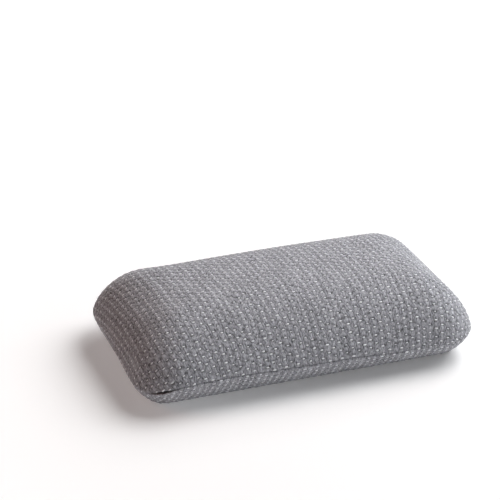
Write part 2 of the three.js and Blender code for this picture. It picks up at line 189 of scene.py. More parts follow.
class Grid:
    """Steps round a ring, and the rings of the pillow's form."""

    def __init__(self, spacing):
        self.spacing = spacing
        self.long = round((LENGTH - 2 * CORNER_RADIUS) / spacing)
        self.short = round((WIDTH - 2 * CORNER_RADIUS) / spacing)
        self.corner = 2 * max(1, round(CORNER_RADIUS * math.pi / 4 / spacing))
        self.across_x = self.long + self.corner
        self.across_y = self.short + self.corner

    def outline(self, half_x, half_y, radius):
        """A rounded rectangle, anticlockwise from the middle of its (-X, -Y) corner."""
        signs = [(-1, -1), (1, -1), (1, 1), (-1, 1)]
        parts = []
        for number in range(4):
            arcs = []
            for which in (number, number + 1):
                sign = np.array(signs[which % 4])
                angles = math.pi * (1 + (which + np.linspace(0, 1, self.corner + 1)) / 2)
                centre = sign * [half_x - radius, half_y - radius]
                arcs.append(centre + radius * np.column_stack([np.cos(angles), np.sin(angles)]))
            steps = self.long if number % 2 == 0 else self.short
            start, end = arcs[0][-1], arcs[1][0]
            share = (np.arange(1, steps) / steps)[:, None]
            parts += [arcs[0], start + (end - start) * share]
        return np.roll(np.vstack(parts), -(self.corner // 2), axis=0)

    def ring(self, turn, depth=0.0, z=None):
        """The points of one level, `depth` below the outer surface, or put at a height z."""
        inset, height = profile(turn)
        normal_inset, normal_z = inwards(turn)
        under = turn <= 1.0
        end_radius = UNDER_CORNER_RADIUS if under else TOP_CORNER_RADIUS
        share = inset[1] / (UNDER_INSET if under else TOP_INSET)[1]
        radius = CORNER_RADIUS + (end_radius - CORNER_RADIUS) * share
        half_x, half_y = np.array([LENGTH, WIDTH]) / 2 - inset - normal_inset * depth
        radius = max(radius - normal_inset * depth, 1.0)
        flat = self.outline(half_x, half_y, radius)
        lift = max(0.0, (height - CROWN_START_Z) / (SHOULDER_Z - CROWN_START_Z)) ** 2
        level_z = height + normal_z * depth if z is None else z
        return np.column_stack([flat, level_z + lift * crown_rise(*flat.T)])

    def middle(self, edge, crowned):
        """The face inside a ring, as a grid of points whose border is the ring."""
        nx, ny = self.across_x, self.across_y
        front = edge[: nx + 1, :2]
        right = edge[nx: nx + ny + 1, :2]
        back = edge[nx + ny: 2 * nx + ny + 1, :2][::-1]
        left = np.vstack([edge[2 * nx + ny:, :2], edge[:1, :2]])[::-1]
        s = np.linspace(0, 1, nx + 1)[:, None, None]
        t = np.linspace(0, 1, ny + 1)[None, :, None]
        grid = (1 - t) * front[:, None] + t * back[:, None] + (1 - s) * left[None] + s * right[None]
        grid = grid - (1 - s) * (1 - t) * front[0] - s * (1 - t) * front[-1]
        grid = grid - (1 - s) * t * back[0] - s * t * back[-1]
        base = edge[0, 2] - (crown_rise(*edge[0, :2]) if crowned else 0.0)
        rise = crown_rise(grid[..., 0], grid[..., 1]) if crowned else 0.0
        return np.concatenate([grid, (base + rise * np.ones(grid.shape[:2]))[..., None]], axis=2)

    def surface(self, rings, crowned):
        """Points and quads of rings that end in a filled middle, facing out if they rise."""
        around = len(rings[0])
        nx, ny = self.across_x, self.across_y
        points = np.vstack(rings)
        here = np.arange(around)
        ahead = np.roll(here, -1)
        quads = []
        for number in range(len(rings) - 1):
            low, high = number * around, (number + 1) * around
            quads.append(np.column_stack([low + here, low + ahead, high + ahead, high + here]))
        border = (len(rings) - 1) * around
        grid = self.middle(rings[-1], crowned)
        index = np.zeros((nx + 1, ny + 1), dtype=int)
        index[:, 0] = border + np.arange(nx + 1)
        index[nx, :] = border + nx + np.arange(ny + 1)
        index[::-1, ny] = border + nx + ny + np.arange(nx + 1)
        index[0, ::-1] = border + (2 * nx + ny + np.arange(ny + 1)) % around
        index[1:nx, 1:ny] = len(points) + np.arange((nx - 1) * (ny - 1)).reshape(nx - 1, ny - 1)
        points = np.vstack([points, grid[1:nx, 1:ny].reshape(-1, 3)])
        corners = [index[:-1, :-1], index[1:, :-1], index[1:, 1:], index[:-1, 1:]]
        quads.append(np.column_stack([c.ravel() for c in corners]))
        return points, np.vstack(quads)


# ---------------------------------------------------------------- meshes
def make_object(name, points, faces):
    """A smooth-shaded object from points in millimetres."""
    mesh = bpy.data.meshes.new(name)
    mesh.from_pydata((np.asarray(points) * MM).tolist(), [], [list(map(int, f)) for f in faces])
    mesh.validate()
    mesh.polygons.foreach_set("use_smooth", [True] * len(mesh.polygons))
    piece = bpy.data.objects.new(name, mesh)
    bpy.context.scene.collection.objects.link(piece)
    return piece


def read_points(mesh):
    flat = np.empty(len(mesh.vertices) * 3)
    mesh.vertices.foreach_get("co", flat)
    return flat.reshape(-1, 3) / MM


def write_points(mesh, points):
    mesh.vertices.foreach_set("co", (points * MM).ravel())
    mesh.update()


def read_normals(mesh):
    flat = np.empty(len(mesh.vertices) * 3)
    mesh.vertices.foreach_get("normal", flat)
    return flat.reshape(-1, 3)


def corner_vertices(mesh):
    corner = np.empty(len(mesh.loops), dtype=int)
    mesh.loops.foreach_get("vertex_index", corner)
    return corner


def read_knit(mesh):
    """Each vertex's place on the map "Knit", in millimetres: the map has no cuts."""
    uv = np.empty(len(mesh.loops) * 2)
    mesh.uv_layers["Knit"].data.foreach_get("uv", uv)
    out = np.zeros((len(mesh.vertices), 2))
    out[corner_vertices(mesh)] = uv.reshape(-1, 2) / MM
    return out


def write_knit(mesh, values):
    by_corner = values[corner_vertices(mesh)] * MM
    mesh.uv_layers["Knit"].data.foreach_set("uv", by_corner.ravel())


def read_lip(mesh):
    """How near each point is to the slot's lips, from 0 to 1 at the lip."""
    values = np.empty(len(mesh.vertices))
    mesh.attributes["Lip"].data.foreach_get("value", values)
    return values


def write_lip(mesh, values):
    mesh.attributes.new("Lip", "FLOAT", "POINT").data.foreach_set("value", values)


def select_only(piece):
    bpy.ops.object.select_all(action="DESELECT")
    piece.select_set(True)
    bpy.context.view_layer.objects.active = piece


def applied(piece):
    """The piece with its modifiers applied."""
    graph = bpy.context.evaluated_depsgraph_get()
    mesh = bpy.data.meshes.new_from_object(piece.evaluated_get(graph), depsgraph=graph)
    piece.modifiers.clear()
    piece.data = mesh
    return piece


def finer(piece, levels):
    """The piece subdivided."""
    smoother = piece.modifiers.new("Finer", "SUBSURF")
    smoother.levels = smoother.render_levels = levels
    smoother.uv_smooth = "PRESERVE_BOUNDARIES"
    return applied(piece)


# ---------------------------------------------------------------- cover panels
def zip_share(points):
    """1 along the slot in the front, 0 where the panels are sewn together."""
    x, y = points[:, 0], points[:, 1]
    along = smoothstep(SLOT_LEFT - SLOT_TAPER, SLOT_LEFT, x)
    along *= 1 - smoothstep(SLOT_RIGHT - 3 * SLOT_TAPER, SLOT_RIGHT - SLOT_TAPER, x)
    return along * (y < 0)


def slot_centre(points):
    """How far the join of the two panels wanders from the zip's own line, at the front."""
    x, y = points[:, 0], points[:, 1]
    drift = np.interp(x, SLOT_DRIFT_X, SLOT_DRIFT_Z)
    wobble = sum(height * np.sin(x / length + phase) for height, length, phase in SLOT_WOBBLE)
    return (drift + wobble) * smoothstep(*DRIFT_FRONT, y)


def slot_half(x, share):
    """Half the gap between the panels."""
    gape = GAPE_HALF * np.exp(-(((x - GAPE_X) / GAPE_REACH) ** 2))
    return SEWN_HALF + share * (LIP_HALF - SEWN_HALF + gape)


# A panel's edge from inside to outside, as depths and heights: rolled along the slot, and
# folded sharply where the seam pulls the two panels together.
ROLLED_EDGE = {
    1: np.array([(3.0, 1.0), (1.4, 0.0), (0.15, 0.05), (-0.1, 0.9)]),
    -1: np.array([(3.0, 1.0), (0.9, 0.0), (0.0, 0.05), (-1.0, 1.0)]),
}
SEWN_EDGE = np.array([(3.0, 0.3), (1.5, 0.0), (0.05, 0.0), (0.0, 0.6)])
LIP_BULGE = {1: -0.1, -1: 1.0}  # how far each lip stands proud
LIP_BULGE_REACH = 9.0
EDGE_GAP = 2.5  # from a panel's edge to its first ring on the plain form
DRIFT_FADE = (33.0, 1.0)  # the slot's wander fades out between these distances from its line
WALL_DEPTH = 1.5  # of the panels' inner wall below the plain form
WALL_START = 4.5  # from the slot's line to the inner wall's first ring


def flat_end(side):
    """The turn at which a panel's rings reach its flat middle."""
    return 2.0 if side > 0 else 0.0


def follow_slot(ring, away):
    """Lets a ring wander with the slot, the less the farther it is away."""
    ring[:, 2] += smoothstep(*DRIFT_FADE, away) * slot_centre(ring)
    return ring


def panel_rings(grid, side):
    """The rings of one cover panel from its edge to its flat middle."""
    rings = []
    for rolled, sewn in zip(ROLLED_EDGE[side], SEWN_EDGE):
        shape = [grid.ring(1.0, depth, WIDEST_Z) for depth in (sewn[0], rolled[0])]
        share = zip_share(shape[0])
        ring = shape[0] + (shape[1] - shape[0]) * share[:, None]
        height = sewn[1] + (rolled[1] - sewn[1]) * share + slot_half(ring[:, 0], share)
        ring[:, 2] += side * height + slot_centre(ring)
        rings.append(ring)
    first = turn_at_height(WIDEST_Z + side * (SLOT_HALF + ROLLED_EDGE[side][-1][1] + EDGE_GAP))
    for turn in even_turns(first, flat_end(side), grid.spacing):
        ring = grid.ring(turn)
        away = np.abs(ring[:, 2] - WIDEST_Z)
        bulge = LIP_BULGE[side] * np.exp(-((away / LIP_BULGE_REACH) ** 2)) * zip_share(ring)
        ring += (grid.ring(turn, -1.0) - ring) * bulge[:, None]
        rings.append(follow_slot(ring, away))
    return rings


def inner_rings(grid, side):
    """The rings of a panel's inner wall, from just behind its edge to its flat middle."""
    first = turn_at_height(WIDEST_Z + side * WALL_START)
    rings = []
    for turn in even_turns(first, flat_end(side), grid.spacing):
        ring = grid.ring(turn, WALL_DEPTH)
        rings.append(follow_slot(ring, np.abs(ring[:, 2] - WIDEST_Z)))
    return rings


CLOTH_FRAMES = 20
CLOTH_SETTINGS = {
    "quality": 6,
    "mass": 0.3,
    "tension_stiffness": 12.0,
    "compression_stiffness": 12.0,
    "shear_stiffness": 4.0,
    "bending_stiffness": 0.6,
    "use_pressure": True,
    "uniform_pressure_force": 4.0,
}
SWELL_CAP = 1.2  # how far the simulation may move a point in or out
PLUMPNESS = {1: 0.5, -1: 0.1}  # how far the puffed panels stand proud of the plain form
LOOSE_FROM_SLOT = 14.0  # the cloth is free from this far off the slot and the floor
LOOSE_FROM_FLOOR = 12.0
HELD_BELOW = 1.0  # under this height the base panel doesn't move in the simulation
BULGES = [  # where this pillow's corners are fuller: place, direction, reach and height
    ((203.0, -66.0, 40.0), (1.0, -0.1, 0.0), 40.0, 3.0),
    ((-160.0, 85.0, 85.0), (-0.5, 0.5, 0.7), 36.0, 2.2),
]


def blown_out(piece, held):
    """Where the points go when Blender's cloth is blown out with its held points pinned."""
    group = piece.vertex_groups.new(name="Held")
    group.add([int(k) for k in held], 1.0, "REPLACE")
    cloth = piece.modifiers.new("Cloth", "CLOTH")
    for setting, value in CLOTH_SETTINGS.items():
        setattr(cloth.settings, setting, value)
    cloth.settings.vertex_group_mass = "Held"
    cloth.settings.effector_weights.gravity = 0.0
    cloth.point_cache.frame_start = 1
    cloth.point_cache.frame_end = CLOTH_FRAMES
    for number in range(1, CLOTH_FRAMES + 1):
        bpy.context.scene.frame_set(number)
    graph = bpy.context.evaluated_depsgraph_get()
    blown = read_points(piece.evaluated_get(graph).data)
    piece.modifiers.clear()
    piece.vertex_groups.clear()
    bpy.context.scene.frame_set(1)
    return blown


def fill_out(piece, side, held):
    """Fills the panel out, but never near its edges or where the pillow rests on something."""
    start = read_points(piece.data)
    normals = read_normals(piece.data)
    loose = smoothstep(0.0, LOOSE_FROM_SLOT, np.abs(start[:, 2] - WIDEST_Z))
    loose *= smoothstep(0.0, LOOSE_FROM_FLOOR, start[:, 2])
    swell = np.zeros(len(start))
    swell = ((blown_out(piece, held) - start) * normals).sum(axis=1)
    rise = PLUMPNESS[side] + SWELL_CAP * np.tanh(swell / SWELL_CAP)
    filled = start + normals * (loose * rise)[:, None]
    for spot, direction, reach, height in BULGES:
        near = np.exp(-(((start - spot) ** 2).sum(axis=1) / reach**2))
        filled += (height * near)[:, None] * np.array(direction)
    write_points(piece.data, filled)


def lay_flat(piece, side):
    """Writes the map "Knit": where each point lies on the flat fabric, in metres.

    The unwrapped map is turned, scaled and moved until it fits the flat middle's own plan.
    """
    piece.data.uv_layers.new(name="Knit")
    select_only(piece)
    bpy.ops.object.mode_set(mode="EDIT")
    bpy.ops.mesh.select_all(action="SELECT")
    bpy.ops.uv.unwrap(method="MINIMUM_STRETCH", margin=0.0)
    bpy.ops.object.mode_set(mode="OBJECT")
    points = read_points(piece.data)
    uv = read_knit(piece.data)
    flat = (np.abs(points[:, :2]) < np.array([LENGTH, WIDTH]) / 2 - TOP_INSET).all(axis=1)
    target = points[flat, 0] + 1j * side * points[flat, 1]
    source = uv[flat, 0] + 1j * uv[flat, 1]
    centred = source - source.mean()
    turn = np.vdot(centred, target - target.mean()) / np.vdot(centred, centred)
    placed = target.mean() + turn * (uv[:, 0] + 1j * uv[:, 1] - source.mean())
    write_knit(piece.data, np.column_stack([placed.real, placed.imag]))


def knit_relief(u, v):
    """How far the knit stands proud: a dimple at each dot, and a soft rib between two dots."""
    cell = np.cos(2 * math.pi * u / DOT_PITCH_X) * np.cos(2 * math.pi * v / DOT_PITCH_Y)
    column = np.cos(4 * math.pi * u / DOT_PITCH_X)
    dimple = np.exp(DIMPLE_SHARPNESS * (cell - 1))
    rib = np.exp(RIB_SHARPNESS * (column - 1)) * (0.5 - 0.5 * cell) ** RIB_SHARPNESS
    return RIB_HEIGHT * rib - DIMPLE_DEPTH * dimple


def knit_pattern(mesh, side):
    """Where each point lies in the knit's pattern, which starts with a row at the front edge."""
    points = read_points(mesh)
    knit = read_knit(mesh)
    front = (points[:, 1] < -WIDTH / 2 + FRONT_DEPTH) & (np.abs(points[:, 0]) < FRONT_HALF)
    edge_v = np.abs(knit[front, 1]).max()
    shift = (edge_v - FIRST_ROW) % (DOT_PITCH_Y / 2)
    ripples = [ripple(*knit.T, WANDER_LENGTH, seed) for seed in WANDER_SEEDS]
    wander = np.column_stack(ripples) * WANDER
    if side > 0:
        cosine, sine = math.cos(KNIT_TURN), math.sin(KNIT_TURN)
        knit = knit @ np.array([[cosine, -sine], [sine, cosine]])
    return knit + wander + [0.0, side * shift]


def cover_panel(name, side):
    """One cover panel, knitted, with a rolled lip along its edge."""
    grid = Grid(COARSE_STEP)
    rings = panel_rings(grid, side)
    points, quads = grid.surface(rings, crowned=side > 0)
    if side < 0:
        quads = quads[:, ::-1]
    piece = make_object(name, points, quads)
    lay_flat(piece, side)
    held = np.arange(len(SEWN_EDGE) * len(rings[0]))
    if side < 0:
        held = np.concatenate([held, np.flatnonzero(points[:, 2] < HELD_BELOW)])
    fill_out(piece, side, held)
    mesh = finer(piece, SUBDIVISIONS).data
    pattern = knit_pattern(mesh, side)
    write_knit(mesh, pattern)
    points = read_points(mesh)
    share = zip_share(points)
    height = np.abs(points[:, 2] - WIDEST_Z - slot_centre(points))
    lip = share * smoothstep(*LIP_FADE, height - slot_half(points[:, 0], share))
    write_lip(mesh, lip)
    relief = knit_relief(*pattern.T) * (1 - lip)
    write_points(mesh, points + read_normals(mesh) * relief[:, None])
    return piece


def boundary_loop(mesh, start):
    """The mesh's open edge as vertex numbers in order, from the vertex nearest to a point."""
    shape = bmesh.new()
    shape.from_mesh(mesh)
    rim = {}
    for vertex in shape.verts:
        if vertex.is_boundary:
            edges = [edge for edge in vertex.link_edges if edge.is_boundary]
            rim[vertex.index] = [edge.other_vert(vertex).index for edge in edges]
    shape.free()
    points = read_points(mesh)
    first = min(rim, key=lambda k: np.linalg.norm(points[k] - start))
    loop = [first, rim[first][0]]
    while loop[-1] != first:
        ahead, behind = rim[loop[-1]]
        loop.append(ahead if ahead != loop[-2] else behind)
    return loop[:-1]


def close_wall(panel, side):
    """Gives the panel its thickness: an inner wall of coarse faces, joined to its open edge.

    Each edge of the coarse ring is joined to the four fine edges of the rim beside it.
    """
    grid = Grid(COARSE_STEP)
    rings = inner_rings(grid, side)
    inner, quads = grid.surface(rings, crowned=side > 0)
    mesh = panel.data
    outer = read_points(mesh)
    loop = boundary_loop(mesh, panel_rings(grid, side)[0][0])
    fine = 2 ** SUBDIVISIONS
    around = len(rings[0])
    toward = [np.linalg.norm(outer[loop[k]] - rings[0][1]) for k in (fine, -fine)]
    if toward[1] < toward[0]:
        loop = [loop[0]] + loop[:0:-1]
    knit = read_knit(mesh)
    faces = [list(polygon.vertices) for polygon in mesh.polygons]
    first = len(outer)
    faces += (quads[:, ::-side] + first).tolist()
    for k in range(around):
        here, ahead = first + k, first + (k + 1) % around
        steps = [loop[(fine * k + step) % len(loop)] for step in range(fine + 1)]
        half = fine // 2
        faces += [[here, steps[n + 1], steps[n]] for n in range(half)]
        faces.append([here, ahead, steps[half]])
        faces += [[ahead, steps[n + 1], steps[n]] for n in range(half, fine)]
    walled = make_object("walled", np.vstack([outer, inner]), faces)
    walled.data.uv_layers.new(name="Knit")
    write_knit(walled.data, np.vstack([knit, inner[:, :2]]))
    write_lip(walled.data, np.concatenate([read_lip(mesh), np.zeros(len(inner))]))
    shape = bmesh.new()
    shape.from_mesh(walled.data)
    bmesh.ops.recalc_face_normals(shape, faces=shape.faces)
    shape.to_mesh(panel.data)
    shape.free()
    bpy.data.objects.remove(walled)


# ---------------------------------------------------------------- materials
FLECK = 1.5  # how far apart the flecks of the melange yarn are
FLECK_SHARE = 0.72  # of the yarn's tone; the fuzz has the rest
FUZZ = 0.7
STREAK = 8.0  # how far apart the yarn's streaks along the columns are
STREAK_LIGHT = 0.16
# Painted highlight: the raised ribs between the dots are lightened in colour
RIB_HIGHLIGHT = 0.17
STRIPE_SHARPNESS = 1.2  # of the ribs' painted highlight, across a column and along it
STRIPE_GAP_SHARPNESS = 0.9
# Painted shade in the hollow round each dot: how much it darkens the tone, and how tightly it sits
HOLLOW_SHADE = 0.2
HOLLOW_SHADE_SHARPNESS = 2.6
TONE_RANGE = (0.28, 0.755)  # the tones that get the dark and the light yarn's colour
DARK_YARN = (0.0345, 0.0352, 0.0385)
LIGHT_YARN = (0.59, 0.597, 0.652)
YARN_BUMP = 0.8


def new_material(name):
    material = bpy.data.materials.new(name)
    material.use_nodes = True
    tree = material.node_tree
    return material, tree, tree.nodes["Principled BSDF"]


def fill_inputs(tree, node, inputs):
    """Sets a node's inputs, each to a number, a colour or another node's output."""
    for name, value in inputs.items():
        if isinstance(value, bpy.types.NodeSocket):
            tree.links.new(value, node.inputs[name])
        elif isinstance(value, tuple) and len(node.inputs[name].default_value) > len(value):
            node.inputs[name].default_value = (*value, 1.0)
        else:
            node.inputs[name].default_value = value


def add_node(tree, kind, inputs, **settings):
    node = tree.nodes.new(f"ShaderNode{kind}")
    for name, value in settings.items():
        setattr(node, name, value)
    fill_inputs(tree, node, inputs)
    return node


def object_point(tree):
    return add_node(tree, "TexCoord", {}).outputs["Object"]


def maths(tree, operation, *values):
    """One sum, whose values are sockets or numbers."""
    return add_node(tree, "Math", dict(enumerate(values)), operation=operation).outputs[0]


def mixed(tree, share, first, second):
    """Blends two colours, which are sockets or (r, g, b)."""
    first_input, second_input, colour_output = 6, 7, 2  # a Mix node names them like its others
    inputs = {"Factor": share, first_input: first, second_input: second}
    return add_node(tree, "Mix", inputs, data_type="RGBA").outputs[colour_output]


def map_range(tree, value, before, after=(0.0, 1.0), **settings):
    """Moves values from one range to another."""
    ends = {"From Min": before[0], "From Max": before[1], "To Min": after[0], "To Max": after[1]}
    return add_node(tree, "MapRange", {"Value": value, **ends}, **settings).outputs[0]


def noise(tree, vector, grain, detail=2.0, stretch=(1, 1, 1)):
    """Noise with grains of a size in mm, drawn out along an axis where its stretch is below 1."""
    scale = tuple(1 / (grain * MM) * share for share in stretch)
    mapping = add_node(tree, "Mapping", {"Vector": vector, "Scale": scale})
    inputs = {"Vector": mapping.outputs[0], "Scale": 1.0, "Detail": detail}
    return add_node(tree, "TexNoise", inputs).outputs["Fac"]


def add_bump(tree, shader, height, depth, strength=0.6):
    bump = add_node(tree, "Bump", {"Strength": strength, "Distance": depth, "Height": height})
    fill_inputs(tree, shader, {"Normal": bump.outputs[0]})


def knit_material():
    """Melange grey: flecked yarn, with painted highlight along the ribs and painted shade in the hollow
    round each dot.
    """
    material, tree, shader = new_material("knit_melange_grey")
    calc = functools.partial(maths, tree)
    uv = add_node(tree, "UVMap", {}, uv_map="Knit").outputs[0]
    u, v, _ = add_node(tree, "SeparateXYZ", {0: uv}).outputs

    def wave(socket, pitch):
        return calc("COSINE", calc("MULTIPLY", socket, 2 * math.pi / (pitch * MM)))

    def peak(socket, sharpness):
        return calc("EXPONENT", calc("MULTIPLY", calc("SUBTRACT", socket, 1.0), sharpness))

    cell = calc("MULTIPLY", wave(u, DOT_PITCH_X), wave(v, DOT_PITCH_Y))
    lip = add_node(tree, "Attribute", {}, attribute_name="Lip").outputs["Fac"]
    # painted shade in each dot's hollow, faded out at the lips
    hollow_shade = calc("MULTIPLY", peak(cell, HOLLOW_SHADE_SHARPNESS), calc("SUBTRACT", 1.0, lip))
    between_dots = peak(calc("MULTIPLY", cell, -1.0), STRIPE_GAP_SHARPNESS)
    rib = calc("MULTIPLY", peak(wave(u, DOT_PITCH_X / 2), STRIPE_SHARPNESS), between_dots)
    flecks = noise(tree, uv, FLECK, 1.0, (1.0, 0.42, 1.0))
    fuzz = noise(tree, uv, FUZZ, 2.0, (1.0, 0.6, 1.0))
    fuzz_tone = calc("MULTIPLY", fuzz, 1.0 - FLECK_SHARE)
    yarn = calc("ADD", calc("MULTIPLY", flecks, FLECK_SHARE), fuzz_tone)
    streaks = noise(tree, uv, STREAK, 1.0, (1.0, 0.15, 1.0))
    # painted highlight along the raised ribs
    tone = calc("ADD", yarn, calc("MULTIPLY", rib, RIB_HIGHLIGHT))
    tone = calc("ADD", tone, calc("MULTIPLY", calc("SUBTRACT", streaks, 0.5), STREAK_LIGHT))
    tone = calc("SUBTRACT", tone, calc("MULTIPLY", hollow_shade, HOLLOW_SHADE))
    fill_inputs(tree, shader, {
        "Base Color": mixed(tree, map_range(tree, tone, TONE_RANGE), DARK_YARN, LIGHT_YARN),
        "Roughness": 0.92,
        "Sheen Weight": 0.2,
        "Sheen Roughness": 0.5,
        "Specular IOR Level": 0.2,
    })
    add_bump(tree, shader, yarn, YARN_BUMP * MM, strength=0.8)
    return material


def grainy_material(name, dark, light, grain, stretch, roughness, metallic=0.0):
    """A drawn or fibrous surface: fine noise with grains of a size in mm, stretched one way."""
    material, tree, shader = new_material(name)
    fleck = noise(tree, object_point(tree), grain, 3.0, stretch)
    spread = 0.3
    fill_inputs(tree, shader, {
        "Base Color": mixed(tree, fleck, dark, light),
        "Roughness": maths(tree, "MULTIPLY_ADD", fleck, spread, roughness - spread / 2),
        "Metallic": metallic,
    })
    add_bump(tree, shader, fleck, 0.1 * grain * MM)
    return material


def woven_material(name, dark, light, pitch, roughness, sheen):
    """Threads that cross at two pitches in mm, with a little unevenness."""
    material, tree, shader = new_material(name)
    calc = functools.partial(maths, tree)
    spot = object_point(tree)
    x, y, z = add_node(tree, "SeparateXYZ", {0: spot}).outputs
    threads = []
    for socket, gap in zip((x, calc("ADD", y, z)), pitch):
        threads.append(calc("SINE", calc("MULTIPLY", socket, 2 * math.pi / (gap * MM))))
    crossing = calc("MULTIPLY_ADD", calc("MULTIPLY", *threads), 0.5, 0.5)
    uneven = noise(tree, spot, 3 * pitch[0])
    share = calc("MULTIPLY_ADD", uneven, 0.5, calc("MULTIPLY", crossing, 0.5))
    fill_inputs(tree, shader, {
        "Base Color": mixed(tree, share, dark, light),
        "Roughness": roughness,
        "Sheen Weight": sheen,
    })
    add_bump(tree, shader, crossing, 0.25 * pitch[0] * MM)
    return material


FOAM_CELL = 1.4
PORE_SHARE = 0.35  # of a cell's size
PORE_DEPTH = 0.3
TINT_SIZE = 60.0
# Painted shade: the colour of the shade inside each pore
PORE_SHADE_COLOUR = (0.45, 0.38, 0.26)
YELLOW_FOAM = (0.80, 0.70, 0.48)
PALE_FOAM = (0.90, 0.85, 0.70)


def foam_material():
    """Open-cell foam: small pores darkened with painted shade, in a cream that yellows unevenly."""
    material, tree, shader = new_material("foam_cream")
    spot = object_point(tree)
    cells = add_node(tree, "TexVoronoi", {"Scale": 1 / (FOAM_CELL * MM), "Vector": spot})
    pore = map_range(tree, cells.outputs["Distance"], (0.0, PORE_SHARE))
    cream = mixed(tree, noise(tree, spot, TINT_SIZE), YELLOW_FOAM, PALE_FOAM)
    # painted shade in the pores
    colour = mixed(tree, pore, PORE_SHADE_COLOUR, cream)
    fill_inputs(tree, shader, {"Base Color": colour, "Roughness": 0.95})
    add_bump(tree, shader, pore, PORE_DEPTH * MM)
    return material


# ---------------------------------------------------------------- the dots
GRAIN = (2.2, 1.05)  # half of a white stitch's length and width
GRAIN_SIDES = 8
GRAIN_RINGS = ((1.0, -0.3), (0.8, 0.25))  # share of that size, and height on the knit
GRAIN_TOP = 0.5
GRAIN_SIZES = (0.7, 1.15)  # the smallest and the largest, as shares of GRAIN
STRAY = 0.16  # how far a stitch lies from its place in the pattern
SEAM_CLEARANCE = 0.4  # no stitch lies nearer to the panel's sewn edge
LIP_CLEARANCE = 0.65  # or to its lip
FOUND_WITHIN = 1e-3  # a place this near to the map lies on the panel
STITCH_SEED = 5


def stitch_grain():
    """Points and faces of one grain, lying along X with Z up."""
    half_length, half_width = GRAIN
    around = GRAIN_SIDES
    angles = np.linspace(0, 2 * math.pi, around, endpoint=False)
    points = [
        (half_length * share * math.cos(angle), half_width * share * math.sin(angle), height)
        for share, height in GRAIN_RINGS for angle in angles
    ]
    points.append((0.0, 0.0, GRAIN_TOP))
    faces = []
    for k in range(around):
        ahead = (k + 1) % around
        faces.append([k, ahead, around + ahead, around + k])
        faces.append([around + k, around + ahead, 2 * around])
    faces.append(list(range(around))[::-1])
    return np.array(points), faces


def laid_on(target, knit, points):
    """Where a place of the pattern lies on a triangle, and the axes along, across and off it."""
    (a, b, c), (pa, pb, pc) = knit, points
    basis = np.column_stack([b - a, c - a])
    weights = np.linalg.solve(basis, target - a)
    spot = pa + weights[0] * (pb - pa) + weights[1] * (pc - pa)
    slopes = np.column_stack([pb - pa, pc - pa]) @ np.linalg.inv(basis)
    along = slopes[:, 0] / np.linalg.norm(slopes[:, 0])
    normal = np.cross(pb - pa, pc - pa)
    normal /= np.linalg.norm(normal)
    return spot, np.array([along, np.cross(normal, along), normal])


def clear_of_edge(spot):
    """Whether a stitch has room between here and the panel's edge."""
    here = spot[None, :]
    share = zip_share(here)
    height = abs(spot[2] - WIDEST_Z - slot_centre(here)[0])
    clearance = SEAM_CLEARANCE + (LIP_CLEARANCE - SEAM_CLEARANCE) * share[0]
    return height >= slot_half(here[:, 0], share)[0] + clearance


def stitch_dots(name, panel):
    """The white tuck stitches, one small grain at each dot of the knit."""
    mesh = panel.data
    mesh.calc_loop_triangles()
    points = read_points(mesh)
    knit = read_knit(mesh)
    triangles = np.empty(len(mesh.loop_triangles) * 3, dtype=int)
    mesh.loop_triangles.foreach_get("vertices", triangles)
    triangles = triangles.reshape(-1, 3)
    flat = [Vector((u, v, 0.0)) for u, v in knit]
    tree = BVHTree.FromPolygons(flat, triangles.tolist())
    random = np.random.default_rng(STITCH_SEED)
    steps_u = int(knit[:, 0].max() // (DOT_PITCH_X / 2)) + 1
    steps_v = int(np.abs(knit[:, 1]).max() // (DOT_PITCH_Y / 2)) + 1
    grain, grain_faces = stitch_grain()
    all_points, all_faces = [], []
    for column in range(-steps_u, steps_u + 1):
        for row in range(-steps_v, steps_v + 1):
            if (column + row) % 2:
                continue
            target = np.array([column * DOT_PITCH_X / 2, row * DOT_PITCH_Y / 2])
            target += random.normal(0.0, STRAY, 2)
            found, _, face, distance = tree.find_nearest(Vector((*target, 0.0)))
            if found is None or distance > FOUND_WITHIN:
                continue
            corners = triangles[face]
            spot, axes = laid_on(target, knit[corners], points[corners])
            if not clear_of_edge(spot):
                continue
            start = len(all_points) * len(grain)
            all_points.append(spot + grain * random.uniform(*GRAIN_SIZES) @ axes)
            all_faces += [[start + k for k in f] for f in grain_faces]
    return make_object(name, np.vstack(all_points), all_faces)


# ---------------------------------------------------------------- filling
LINER_DEPTH = 4.0
LINER_THICKNESS = 0.7
FOAM_DEPTH = 6.4
FOAM_WANDER = 0.25  # how uneven the foam's cut faces are, over which length
FOAM_WANDER_LENGTH = 30.0
FOAM_SEED = 21
FILLING_STEP = 7.0
ZIP_DENT = 15.0  # how deep the zip presses into the filling
ZIP_DENT_HALF = 9.0
DENT_LEFT = (3.5, 1.5)  # where the dent starts past the tape's ends, and where it is full,
DENT_RIGHT = (2.0, 0.5)  # in its half heights


def dented(points, depth):
    """Presses the filling in behind the zip."""
    left, right = (corner[0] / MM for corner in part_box("zip_tape_upper"))
    left_start, left_full = (left - ZIP_DENT_HALF * reach for reach in DENT_LEFT)
    right_start, right_full = (right + ZIP_DENT_HALF * reach for reach in DENT_RIGHT)
    along = smoothstep(left_start, left_full, points[:, 0])
    along *= 1 - smoothstep(right_full, right_start, points[:, 0])
    share = along * np.exp(-((np.abs(points[:, 2] - WIDEST_Z) / (2 * ZIP_DENT_HALF)) ** 4))
    floor = -WIDTH / 2 + ZIP_DENT + (depth - LINER_DEPTH)
    front = points[:, 1] < -WIDTH / 4
    pressed = np.maximum(points[:, 1], points[:, 1] + share * (floor - points[:, 1]))
    points[:, 1] = np.where(front, pressed, points[:, 1])
    return points


